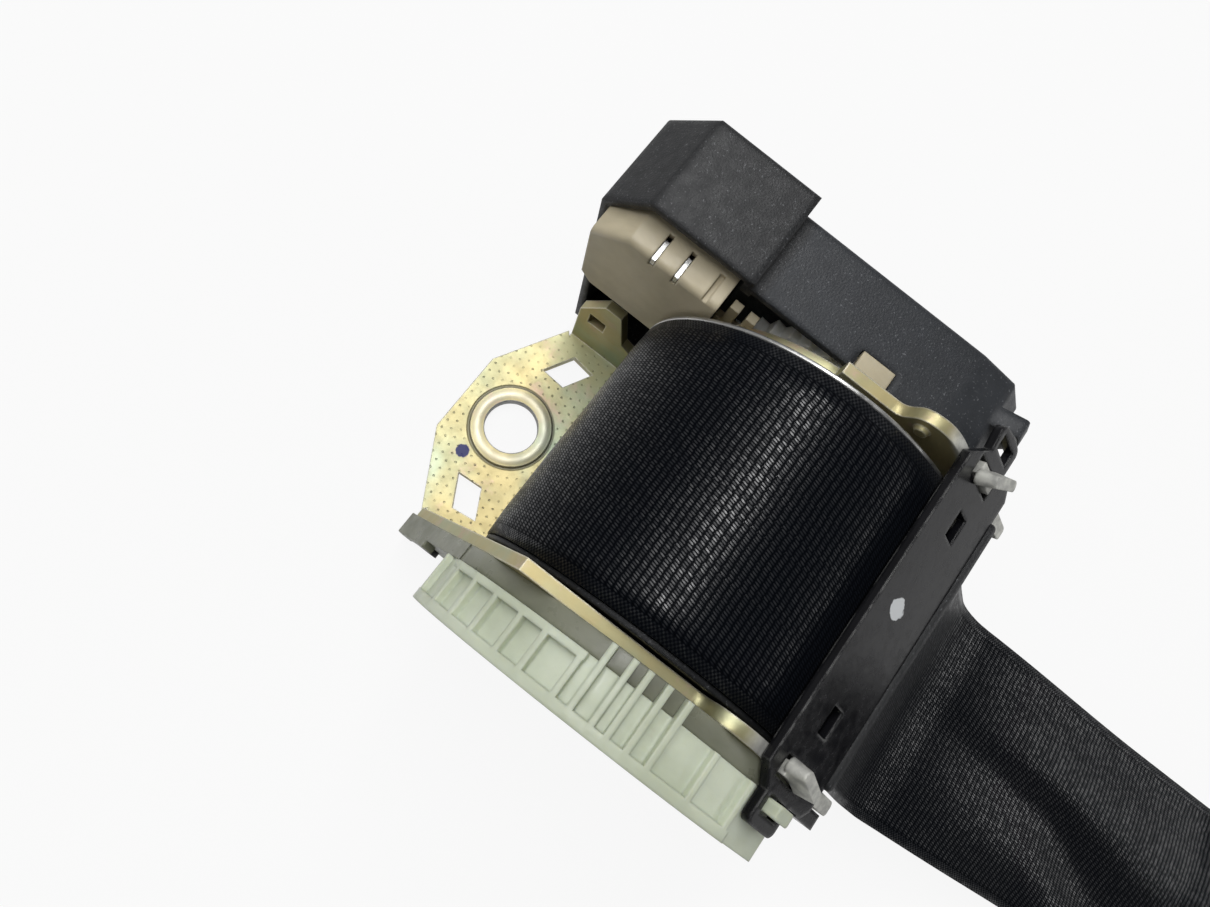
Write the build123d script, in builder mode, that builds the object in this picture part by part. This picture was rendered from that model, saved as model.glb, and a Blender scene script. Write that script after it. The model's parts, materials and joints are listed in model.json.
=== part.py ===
from build123d import *
import math
import os

# Emergency-locking seat belt retractor with its webbing, tongue and end anchor.
# Millimetres. Origin: centre of the anchor bolt hole on the mounting face. +Z leaves the
# mounting face, X runs along the spool, the belt leaves towards -Y and the lug is at +Y.

os.makedirs("parts", exist_ok=True)

# Driving dimensions
web_width = 47.0
web_thick = 1.2
web_x = -1.1
spool_y = -45.6
spool_z = 40.0
roll_r = 34.2
core_r = 15.0
sheet = 2.2
frame_width = 56.6
frame_end = -38.4
bolt_r = 5.95
gap = 0.3
button_stem_r = 1.6
fit = 0.05
cover_r = 36.6
cover_out = -40.6
wall_top = 29.3
cover_rim = -31.6
cover_cut = -27.0
tie_dist = 35.1
tie_thick = 1.6
tie_angle = 131.3
tooth_tip_r = 20.4
tooth_root_r = 22.4
ring_r = 26.0
ratchet_teeth = 30
ratchet_phase = 4.3
gear_teeth = 36
gear_r = 22.6
gear_root_r = 20.8
wall = 1.5
free_x = 6.6
table_gap = 0.1
hank_pitch = 4.2
skew_start = -48.0
skew_end = -137.0
hank_near = -170.0
hank_far = -245.0
tongue_u = -267.0
tongue_lean = 35.0
anchor_u = -338.0
button_u = -232.0

# Worked out from the driving dimensions
half = frame_width / 2
wall_in = half - sheet
web_low = web_x - web_width / 2
web_high = web_x + web_width / 2
free_low = free_x - web_width / 2
free_high = free_x + web_width / 2
strap_r = roll_r + gap + web_thick / 2
tie_top = tie_dist + tie_thick
lean = math.radians(tie_angle)
tooth_pitch = 360 / ratchet_teeth
gear_pitch = 360 / gear_teeth
foot_v = -spool_z
strap_low = table_gap + web_thick / 2 - spool_z


def across(x):
    """Plane facing +X, centred on the spool axis: local x is +Y, local y is +Z."""
    return Plane(origin=(x, spool_y, spool_z), x_dir=(0, 1, 0), z_dir=(1, 0, 0))


def on_tie(distance):
    """Plane parallel to the tie bar: local x is +X, local y climbs the slope."""
    normal = (0, math.cos(lean), math.sin(lean))
    origin = (0, spool_y + distance * normal[1], spool_z + distance * normal[2])
    return Plane(origin=origin, x_dir=(1, 0, 0), z_dir=normal)


def polar(radius, degrees):
    """Point of a profile plane at a radius and an angle from local x."""
    angle = math.radians(degrees)
    return (radius * math.cos(angle), radius * math.sin(angle))


def save(piece, name):
    """Label a finished solid and write its file."""
    piece.label = name
    export_step(piece, f"parts/{name}.step")


# Pressed steel frame: back wall with lug, two side walls, bent at the corners
bend_out = 3.0
slope_start = 48.6
belt_side = [
    (-18.0, 30.8),
    (-30.2, 20.1),
    (-33.0, 14.0),
    (frame_end, -30.0),
    (frame_end, foot_v + bend_out),
    (slope_start, foot_v + bend_out),
]
spring_wall = [
    *belt_side,
    (slope_start, -32.0),
    (25.5, wall_top),
    (-5.0, wall_top),
]
lock_wall = [
    *belt_side,
    (slope_start, -21.0),
    (43.5, -12.0),
    (39.5, -12.0),
    (37.0, -24.0),
    (30.0, -28.0),
    (15.0, -20.0),
    (15.0, 18.0),
    (4.7, 22.0),
    (4.7, wall_top),
    (-5.0, wall_top),
]
hump_top = (-10.8, 33.9)
push_pin_r = 1.8
spring_pins = [(42.6, -30.0), (24.0, -32.4)]
lock_pins = [(-13.0, -29.0), (19.0, -30.0)]
tab_y = 1.5
tab_size = (sheet, 6.0)
head_size = (2.6, 7.6)
horn_y = -13.0
ring_teeth = []
for tooth in range(ratchet_teeth):
    ring_teeth.append(polar(tooth_root_r, ratchet_phase + tooth * tooth_pitch))
    ring_teeth.append(polar(tooth_tip_r, ratchet_phase + (tooth + 0.2) * tooth_pitch))

with BuildPart() as frame_bracket:
    with BuildSketch(Plane.XZ.offset(-spool_y - slope_start)):
        with Locations((0, bend_out / 2)):
            Rectangle(frame_width, bend_out)
        with Locations((0, (bend_out + sheet) / 2)):
            Rectangle(frame_width - 2 * sheet, bend_out - sheet, mode=Mode.SUBTRACT)
        fillet(vertices().group_by(Axis.Y)[0], bend_out)
    extrude(amount=slope_start - frame_end)
    with BuildSketch(Plane.XY):
        with BuildLine():
            Polyline(
                (-9.8, 13.0),
                (9.8, 13.0),
                (26.2, 3.8),
                (25.3, 3.0),
                (-25.3, 3.0),
                (-26.2, 3.8),
                close=True,
            )
        make_face()
    extrude(amount=sheet)
    for face_x, outline in ((-half, spring_wall), (wall_in, lock_wall)):
        with BuildSketch(across(face_x)):
            with BuildLine():
                Polyline(*outline)
                Spline(outline[-1], (-8.2, 32.7), hump_top, outline[0], tangents=((-1, 0), (-0.75, -0.66)))
            make_face()
            if outline is lock_wall:
                Circle(ring_r)
        extrude(amount=sheet)
    # Half-sheared pip in the hump of the lock side
    with BuildSketch(across(wall_in)):
        with Locations((-10.2, 30.6)):
            Circle(1.4)
    extrude(amount=-0.8, taper=25)
    # Raised seat around the bolt hole, then the bolt hole and the locating hole
    with BuildSketch(Plane.XY.offset(sheet)):
        Circle(9.3)
    extrude(amount=0.6, taper=20)
    with BuildSketch(Plane.XY):
        Circle(bolt_r)
        with Locations((0, -77.0)):
            Circle(3.25)
        for side in (-1, 1):
            with BuildLine():
                Polyline(
                    (side * 15.0, 2.6),
                    (side * 21.9, -1.2),
                    (side * 21.2, -6.8),
                    (side * 14.6, -3.3),
                    close=True,
                )
            make_face()
    extrude(amount=bend_out + 1, mode=Mode.SUBTRACT)
    # Spring side: clearance hole for the hub. Lock side: ring of ratchet teeth
    with BuildSketch(across(-half - 1)):
        Circle(11.2)
    extrude(amount=sheet + 2, mode=Mode.SUBTRACT)
    with BuildSketch(across(wall_in - 1)):
        with BuildLine():
            Polyline(*ring_teeth, close=True)
        make_face()
        with Locations((44.0, -22.5)):
            Rectangle(4.0, 5.0)
    extrude(amount=sheet + 2, mode=Mode.SUBTRACT)
    for places, face_x in ((spring_pins, -half - 1), (lock_pins, wall_in - 1)):
        with BuildSketch(across(face_x)):
            with Locations(*places):
                Circle(push_pin_r)
        extrude(amount=sheet + 2, mode=Mode.SUBTRACT)
    # Tabs through the tie bar with twisted heads, and horns past its far edge
    for wall_x, twist in ((-half + sheet / 2, -14), (half - sheet / 2, 30)):
        with BuildSketch(on_tie(tie_dist - 3.0)):
            with Locations((wall_x, tab_y)):
                Rectangle(*tab_size)
        extrude(amount=tie_thick + 3.6)
        with BuildSketch(on_tie(tie_top + gap)):
            with Locations(Location((wall_x, tab_y, 0), (0, 0, twist))):
                RectangleRounded(*head_size, 1.1)
        extrude(amount=3.4, taper=6)
        with BuildSketch(on_tie(tie_dist - 4.0)):
            with Locations((wall_x, horn_y)):
                RectangleRounded(sheet + 0.4, 6.8, 0.8)
        extrude(amount=4.6)
save(frame_bracket.part, "frame_bracket")

# Tie bar across the two side walls, with a windowed ear past each wall
ear_x = 32.75
with BuildPart() as tie_bar:
    with BuildSketch(on_tie(tie_dist)):
        with BuildLine():
            Polyline(
                (-28.0, 8.8),
                (27.0, 8.8),
                (31.0, 3.8),
                (35.8, 4.6),
                (36.8, -0.8),
                (36.2, -3.9),
                (31.2, -3.9),
                (31.2, -7.6),
                (29.6, -9.2),
                (-29.6, -9.2),
                (-31.2, -7.6),
                (-31.2, -3.4),
                (-36.4, -3.4),
                (-36.4, 5.0),
                (-31.2, 5.0),
                close=True,
            )
        make_face()
        fillet(vertices().filter_by(lambda corner: abs(corner.X) > 35.5), 1.4)
        with Locations((-half + sheet / 2, tab_y), (half - sheet / 2, tab_y)):
            Rectangle(3.6, 8.2, mode=Mode.SUBTRACT)
        with Locations((-ear_x, 0.8), (ear_x + 0.8, 0.3)):
            Rectangle(2.9, 5.6, mode=Mode.SUBTRACT)
        with Locations((-18.0, 0.3), (18.0, 0.3)):
            Rectangle(4.8, 3.4, mode=Mode.SUBTRACT)
    extrude(amount=tie_thick)
    # Foot turned down past the spring side wall
    with BuildSketch(on_tie(tie_dist - 2.0)):
        with Locations((-30.2, -10.2)):
            Rectangle(2.6, 6.6)
    extrude(amount=tie_thick + 1.6)
save(tie_bar.part, "tie_bar")

# Plastic bead on the far edge of the tie bar, where the belt slides
with BuildPart() as webbing_guide:
    with BuildSketch(on_tie(tie_dist - 0.2)):
        with Locations((0, -10.2)):
            RectangleRounded(51.0, 2.0, 0.9)
    extrude(amount=tie_thick + 0.7)
    fillet(webbing_guide.edges().filter_by(Axis.X), 0.6)
save(webbing_guide.part, "webbing_guide")

# Spool core with its hub through the spring side wall
flange_low = web_low - 0.1
flange_high = web_high + 0.1
bar_r = 4.0
bar_bore = 6.0
pin_dist = 10.6
pin_r = 1.5
hub_r = 8.1
with BuildPart() as spool_core:
    with BuildSketch(across(flange_low)):
        Circle(core_r)
        Circle(bar_bore, mode=Mode.SUBTRACT)
        with Locations((0, pin_dist)):
            Circle(pin_r + web_thick + 0.15, mode=Mode.SUBTRACT)
        with Locations((0, (pin_dist + core_r) / 2 + 1)):
            Rectangle(web_thick + 0.1, core_r - pin_dist + 2, mode=Mode.SUBTRACT)
    extrude(amount=flange_high - flange_low)
    with BuildSketch(across(flange_low)):
        Circle(hub_r)
    extrude(amount=-4.0)
save(spool_core.part, "spool_core")

with BuildPart() as webbing_pin:
    with BuildSketch(across(web_low)):
        with Locations((0, pin_dist)):
            Circle(pin_r)
    extrude(amount=web_width)
    chamfer(webbing_pin.edges().filter_by(GeomType.CIRCLE), 0.4)
save(webbing_pin.part, "webbing_pin")

# Wound webbing: the roll, its leg into the core slot and the loop around the pin
with BuildPart() as webbing_roll:
    with BuildSketch(across(web_low)):
        Circle(roll_r)
        Circle(core_r, mode=Mode.SUBTRACT)
        with Locations((0, (pin_dist + core_r) / 2 + 1)):
            Rectangle(web_thick, core_r - pin_dist)
        with Locations((0, pin_dist)):
            Circle(pin_r + web_thick)
            Circle(pin_r + 0.05, mode=Mode.SUBTRACT)
    extrude(amount=web_width)
save(webbing_roll.part, "webbing_roll")

with BuildPart() as torsion_bar:
    with BuildSketch(across(flange_low)):
        Circle(bar_r)
    extrude(amount=flange_high - flange_low)
    for end_x, turn in ((flange_low, 1), (flange_high, -1)):
        with BuildSketch(across(end_x)):
            RegularPolygon(bar_bore, 6)
        extrude(amount=turn * 7.0)
save(torsion_bar.part, "torsion_bar")

with BuildPart() as spring_flange:
    with BuildSketch(across(flange_low)):
        Circle(33.2)
        Circle(hub_r, mode=Mode.SUBTRACT)
    extrude(amount=-0.95)
    chamfer(spring_flange.edges().group_by(SortBy.LENGTH)[-1], 0.25)
save(spring_flange.part, "spring_flange")

flange_thick = 1.0
with BuildPart() as lock_flange:
    with BuildSketch(across(flange_high)):
        Circle(33.4)
    extrude(amount=flange_thick)
    chamfer(lock_flange.edges().group_by(SortBy.LENGTH)[-1], 0.3)
save(lock_flange.part, "lock_flange")

# Locking base on the lock side of the spool, with a pocket for the pawl and the shaft
base_r = 19.6
base_low = flange_high + flange_thick
pawl_low = 26.2
base_high = 29.6
gear_low = 30.6
gear_high = 33.6
shaft_r = 3.0
shaft_end = 44.4
pawl_dist = 12.0
pawl_pin_r = 1.6
pawl_high = 28.2
pawl_swing = 15.0
gear_lag = 10.0
gear_phase = -4.4
peg_reach = 7.0
peg_r = 1.0
peg_from = (pawl_dist + peg_reach * math.cos(math.radians(84)), peg_reach * math.sin(math.radians(84)))
pawl_tip = polar(19.2, 45.0)
with BuildPart() as locking_base:
    with BuildSketch(across(base_low)):
        Circle(base_r)
    extrude(amount=base_high - base_low)
    with BuildSketch(across(base_high)):
        Circle(shaft_r)
    extrude(amount=shaft_end - base_high)
    # Pocket the pawl swings in, open to the rim
    with BuildSketch(across(pawl_low)):
        with BuildLine():
            Polyline(
                (8.0, -4.5),
                (16.4, -4.5),
                (26.0, 6.0),
                (20.0, 22.0),
                (10.4, 16.5),
                (7.6, 5.0),
                close=True,
            )
        make_face()
    extrude(amount=base_high - pawl_low + 1, mode=Mode.SUBTRACT)
    # Weight-saving pockets in the face
    with BuildSketch(across(base_high)):
        with PolarLocations(13.0, 4, start_angle=105, angular_range=210):
            Circle(3.4)
    extrude(amount=-1.6, mode=Mode.SUBTRACT)
save(locking_base.part, "locking_base")

with BuildPart() as pawl_pin:
    with BuildSketch(across(pawl_low)):
        with Locations((pawl_dist, 0)):
            Circle(pawl_pin_r)
    extrude(amount=base_high - pawl_low)
save(pawl_pin.part, "pawl_pin")

# Locking pawl: hook for the ratchet ring, peg for the cam slot of the lock gear
with BuildPart() as locking_pawl:
    with BuildSketch(across(pawl_low + 0.1)):
        with BuildLine():
            Polyline(
                (pawl_dist - 3.2, -1.6),
                (pawl_dist + 3.0, -1.8),
                (18.2, 4.6),
                (16.6, 8.2),
                polar(17.8, 34.0),
                pawl_tip,
                (11.8, 13.8),
                (9.4, 9.0),
                close=True,
            )
        make_face()
        fillet(vertices().group_by(Axis.Y)[0], 1.2)
        with Locations((pawl_dist, 0)):
            Circle(pawl_pin_r + fit, mode=Mode.SUBTRACT)
    extrude(amount=pawl_high - pawl_low - 0.1)
    with BuildSketch(across(pawl_high)):
        with Locations(peg_from):
            Circle(peg_r)
    extrude(amount=gear_high - 0.6 - pawl_high)
save(locking_pawl.part, "locking_pawl")

# Lock gear: toothed rim for the sensor lever, with the cam slot
cam_turn = math.radians(gear_lag)
peg_arc = math.radians(84 - pawl_swing)
peg_to = (pawl_dist + peg_reach * math.cos(peg_arc), peg_reach * math.sin(peg_arc))
slot_to = (
    peg_to[0] * math.cos(cam_turn) - peg_to[1] * math.sin(cam_turn),
    peg_to[0] * math.sin(cam_turn) + peg_to[1] * math.cos(cam_turn),
)
gear_outline = []
for tooth in range(gear_teeth):
    gear_outline.append(polar(gear_root_r, gear_phase + tooth * gear_pitch))
    gear_outline.append(polar(gear_r, gear_phase + (tooth + 0.8) * gear_pitch))
mass_dist = 13.0
mass_angle = 200.0
mass_pin_r = 1.8
with BuildPart() as lock_gear:
    with BuildSketch(across(gear_low)):
        with BuildLine():
            Polyline(*gear_outline, close=True)
        make_face()
        Circle(shaft_r + fit, mode=Mode.SUBTRACT)
        with Locations(((peg_from[0] + slot_to[0]) / 2, (peg_from[1] + slot_to[1]) / 2)):
            SlotCenterToCenter(
                math.dist(peg_from, slot_to),
                2 * peg_r + 0.7,
                rotation=math.degrees(math.atan2(slot_to[1] - peg_from[1], slot_to[0] - peg_from[0])),
                mode=Mode.SUBTRACT,
            )
    extrude(amount=gear_high - gear_low)
    with BuildSketch(across(gear_high)):
        Circle(18.6)
        Circle(6.0, mode=Mode.SUBTRACT)
    extrude(amount=-1.2, mode=Mode.SUBTRACT)
    with BuildSketch(across(gear_high - 1.3)):
        with Locations(polar(mass_dist, mass_angle)):
            Circle(mass_pin_r)
    extrude(amount=4.0)
save(lock_gear.part, "lock_gear")

# Inertia mass: flyweight on the outer face of the lock gear
mass_centre = polar(mass_dist, mass_angle)
with BuildPart() as inertia_mass:
    with BuildSketch(across(gear_high + 0.1)):
        Circle(18.0)
        Circle(9.0, mode=Mode.SUBTRACT)
        with BuildLine():
            Polyline(
                (0, 0),
                polar(40, mass_angle - 78),
                polar(60, mass_angle),
                polar(40, mass_angle + 62),
                close=True,
            )
        make_face(mode=Mode.INTERSECT)
        with Locations(mass_centre):
            Circle(mass_pin_r + 1.6)
            Circle(mass_pin_r + fit, mode=Mode.SUBTRACT)
    extrude(amount=2.4)
save(inertia_mass.part, "inertia_mass")

# Spring side: base plate on the side wall, with the bushing of the hub
base_plate = [
    (slope_start + 0.6, -36.5),
    (slope_start + 0.6, -29.0),
    (42.0, -13.0),
    (34.0, 9.0),
    (15.0, 9.0),
    (15.0, -36.5),
]
spring_room = cover_r - 3.4
with BuildPart() as spring_base:
    with BuildSketch(across(-half)):
        with BuildLine():
            Polyline(*base_plate, close=True)
        make_face()
        Circle(cover_r - 1.7)
        with Locations((cover_cut - 20, 0)):
            Rectangle(40, 90, mode=Mode.SUBTRACT)
        with Locations((0, foot_v - 7.5)):
            Rectangle(120, 20, mode=Mode.SUBTRACT)
        Circle(hub_r + fit + 1.6, mode=Mode.SUBTRACT)
    extrude(amount=cover_rim + half)
    with BuildSketch(across(-half)):
        with Locations(*spring_pins):
            Circle(push_pin_r)
    extrude(amount=cover_rim + half, mode=Mode.SUBTRACT)
    # Lip along the edge of the flange at the lug
    with BuildSketch(across(-half)):
        with BuildLine():
            Polyline(
                (slope_start + 0.6, -36.5),
                (slope_start + 0.6, -29.0),
                (42.0, -13.0),
                (39.8, -14.4),
                (46.4, -30.4),
                (46.4, -36.5),
                close=True,
            )
        make_face()
    extrude(amount=cover_rim + half - 1.4)
save(spring_base.part, "spring_base")

with BuildPart() as spring_bushing:
    with BuildSketch(across(-half + sheet)):
        Circle(11.2)
        Circle(hub_r + fit, mode=Mode.SUBTRACT)
    extrude(amount=-sheet)
    with BuildSketch(across(-half)):
        Circle(hub_r + fit + 1.6)
        Circle(hub_r + fit, mode=Mode.SUBTRACT)
    extrude(amount=-0.4)
save(spring_bushing.part, "spring_bushing")

# Ribbed spring cover: drum with an end wall, ribs along the drum and bands at both rims
drum_r = cover_r - 1.3
rib_size = (cover_r - drum_r + 0.3, 1.0)
rib_middle = cover_r - rib_size[0] / 2
cover_wall = 1.7
long_ribs = [75.5, 81.0, 85.0, 90.0, 95.5]
short_ribs = [26.0, 36.0, 45.0, 54.0, 61.5, 71.0, 107.0, 119.5]
rib_from = cover_out + 1.0
with BuildPart() as spring_cover:
    with BuildSketch(across(cover_out)):
        Circle(cover_r)
    extrude(amount=1.8)
    with BuildSketch(across(cover_out)):
        Circle(drum_r)
    extrude(amount=cover_rim - cover_out)
    # Band at the inner rim, on the lug side only
    with BuildSketch(across(cover_rim)):
        Circle(cover_r)
        with BuildLine():
            Polyline((0, 0), polar(60, 23), polar(90, 47), polar(60, 72), close=True)
        make_face(mode=Mode.INTERSECT)
    extrude(amount=-1.3)
    for angles, rib_to in ((short_ribs, cover_rim), (long_ribs, -half - 0.2)):
        for angle in angles:
            with BuildSketch(across(rib_from)):
                with Locations(Location((*polar(rib_middle, angle), 0), (0, 0, angle))):
                    Rectangle(*rib_size)
            extrude(amount=rib_to - rib_from)
    # Lower half: plain ribs at an even pitch
    with BuildSketch(across(rib_from)):
        with PolarLocations(rib_middle, 12, start_angle=236, angular_range=145):
            Rectangle(*rib_size)
    extrude(amount=cover_rim - rib_from)
    # Room for the spiral spring and the arbor journal
    with BuildSketch(across(cover_rim)):
        Circle(spring_room)
    extrude(amount=cover_out + cover_wall - cover_rim, mode=Mode.SUBTRACT)
    with BuildSketch(across(cover_out + cover_wall)):
        Circle(4.6)
        Circle(2.6, mode=Mode.SUBTRACT)
    extrude(amount=1.4)
    # Flat cut at the belt side and at the tie bar ear, then the end wall of the cut
    with BuildSketch(across(cover_out - 1)):
        with Locations((cover_cut - 20, 0)):
            Rectangle(40, 90)
        with Locations((0, foot_v - 7.5)):
            Rectangle(120, 20)
        with BuildLine():
            Polyline(
                polar(math.hypot(tie_dist - gap, 6.4), tie_angle - 10.4),
                polar(math.hypot(tie_dist - gap, 12.0), tie_angle + 19.0),
                polar(60, tie_angle + 20.0),
                polar(60, tie_angle - 6.3),
                close=True,
            )
        make_face()
    extrude(amount=15, mode=Mode.SUBTRACT)
    with BuildSketch(across(cover_out)):
        with Locations((cover_cut + cover_wall / 2, 0)):
            Rectangle(cover_wall, 2 * 22.0)
    extrude(amount=cover_rim - cover_out)
    # Peg through the window of the tie bar ear
    with BuildSketch(on_tie(tie_dist - 4.0)):
        with Locations((-ear_x, 0.6)):
            RectangleRounded(2.2, 4.2, 0.5)
    extrude(amount=7.6)
save(spring_cover.part, "spring_cover")

# Arbor driven by the hub, and the spiral mainspring around it
arbor_r = 5.5
arbor_low = cover_out + cover_wall + 0.4
with BuildPart() as spring_arbor:
    with BuildSketch(across(flange_low - 4.0)):
        Circle(arbor_r)
    extrude(amount=arbor_low + 1.2 - flange_low + 4.0)
    with BuildSketch(across(arbor_low + 1.2)):
        Circle(2.55)
    extrude(amount=-1.2)
save(spring_arbor.part, "spring_arbor")

# The spiral is half circles about two centres, and each half turn is wider than the last
spring_turns = 5
spring_from = 7.5
spring_pitch = 3.4
spring_strip = 0.6
shift = spring_pitch / 4
with BuildPart() as mainspring:
    with BuildSketch(across(cover_rim - 0.4)):
        with BuildLine():
            for edge_r in (0, spring_strip):
                for step in range(2 * spring_turns):
                    side = 1 if step % 2 == 0 else -1
                    radius = spring_from + (2 * step + 1) * shift + edge_r
                    ThreePointArc(
                        (side * (shift - radius), 0),
                        (side * shift, side * radius),
                        (side * (shift + radius), 0),
                    )
            outer_end = side * (shift + radius)
            Line((outer_end, 0), (outer_end - side * spring_strip, 0))
            Line((-spring_from, 0), (-spring_from - spring_strip, 0))
        make_face()
    extrude(amount=-6.0)
save(mainspring.part, "mainspring")

# Lock side: base plate with the clip tab, open in the middle for the locking base
mech_low = half
cover_face = 30.1
with BuildPart() as mechanism_base:
    with BuildSketch(across(mech_low)):
        with BuildLine():
            Polyline(
                (25.6, 12.0),
                (6.0, 12.0),
                (4.0, 22.0),
                (-18.0, 22.0),
                (-24.0, 8.0),
                (-25.0, -8.0),
                (-20.0, -34.0),
                (25.6, -34.0),
                close=True,
            )
        make_face()
        # Clip tab, and two lugs between it and the sensor housing
        with Locations((-0.15, 22.7)):
            Rectangle(6.5, 5.4)
        with Locations((20.2, 15.0), (23.5, 15.0)):
            Rectangle(1.9, 7.2)
        Circle(base_r + 0.6, mode=Mode.SUBTRACT)
        with Locations(*lock_pins):
            Circle(push_pin_r, mode=Mode.SUBTRACT)
    extrude(amount=cover_face - mech_low)
    with BuildSketch(across(cover_face)):
        with Locations((-0.15, 24.4)):
            Rectangle(6.3, 2.0)
    extrude(amount=3.4)
save(mechanism_base.part, "mechanism_base")

# Sensor housing: open box on the lug side, with the cup of the ball and two rim slots
ball_u = 40.0
ball_v = 8.0
ball_x = 35.6
ball_r = 5.0
box_low = 24.7
box_high = 45.4
box_outline = [
    (25.9, 22.2),
    (44.2, 22.2),
    (51.0, 16.8),
    (50.4, -0.2),
    (48.2, -2.6),
    (27.0, -2.6),
    (27.0, 6.0),
    (25.9, 8.0),
]
with BuildPart() as sensor_housing:
    with BuildSketch(across(box_low)):
        with BuildLine():
            Polyline(*box_outline, close=True)
        make_face()
    extrude(amount=box_high - box_low)
    rim = sensor_housing.edges().group_by(Axis.X)[0]
    fillet(rim.filter_by(lambda edge: edge.center().Z > spool_z + 18), 1.2)
    with BuildSketch(across(box_low + wall)):
        with BuildLine():
            Polyline(*box_outline, close=True)
        make_face()
        offset(amount=-wall, mode=Mode.REPLACE)
    extrude(amount=box_high - box_low, mode=Mode.SUBTRACT)
    # Cup of the ball, held off the side walls
    with BuildSketch(across(ball_x - 6.2)):
        with Locations((45.9, ball_v)):
            Rectangle(8.0, 13.0)
    extrude(amount=12.4)
    with Locations((ball_x, spool_y + ball_u, spool_z + ball_v)):
        Sphere(ball_r + 0.15, mode=Mode.SUBTRACT)
    # Slots and a shallow groove across the rim, and the window the lever tooth swings through
    for slot_u, slot_deep in ((34.4, 2.5), (39.1, 2.5), (28.5, 0.9)):
        with BuildSketch(across(box_low - 1)):
            with Locations((slot_u, 22.2)):
                Rectangle(1.0, 2 * slot_deep)
        extrude(amount=6.6, mode=Mode.SUBTRACT)
    with BuildSketch(across(gear_low - 0.6)):
        with Locations((27.8, 4.0)):
            Rectangle(4.0, 11.0)
    extrude(amount=gear_high - gear_low + 1.4, mode=Mode.SUBTRACT)
    # Pin of the lever
    lever_pivot = (32.0, 17.6)
    with BuildSketch(across(box_low + wall)):
        with Locations(lever_pivot):
            Circle(1.2)
    extrude(amount=13.5)
save(sensor_housing.part, "sensor_housing")

with BuildPart() as sensor_clip:
    for slot_u in (34.4, 39.1):
        with BuildSketch(across(box_low + 0.2)):
            with Locations((slot_u, 20.9)):
                Rectangle(0.8, 1.8)
        extrude(amount=4.2)
    with BuildSketch(across(box_low + 2.2)):
        with Locations((36.75, 20.1)):
            Rectangle(5.7, 0.8)
    extrude(amount=2.2)
save(sensor_clip.part, "sensor_clip")

with BuildPart() as sensor_lever:
    with BuildSketch(across(gear_low + 0.2)):
        with BuildLine():
            Polyline(
                (lever_pivot[0] - 1.0, lever_pivot[1] + 2.4),
                (lever_pivot[0] + 2.2, lever_pivot[1] + 1.0),
                (34.7, 9.0),
                (34.7, 5.0),
                (33.0, 2.0),
                (23.4, 1.2),
                (23.6, 2.4),
                (30.6, 4.6),
                (31.6, 8.0),
                (lever_pivot[0] - 2.2, lever_pivot[1] - 0.6),
                close=True,
            )
        make_face()
        with Locations(lever_pivot):
            Circle(1.2 + fit, mode=Mode.SUBTRACT)
    extrude(amount=2.6)
    with BuildSketch(across(gear_low + 2.8)):
        with Locations((34.0, 7.4)):
            Rectangle(1.4, 6.4)
    extrude(amount=5.4)
save(sensor_lever.part, "sensor_lever")

with BuildPart() as sensor_ball:
    with Locations((ball_x, spool_y + ball_u, spool_z + ball_v)):
        Sphere(ball_r)
save(sensor_ball.part, "sensor_ball")

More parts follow.
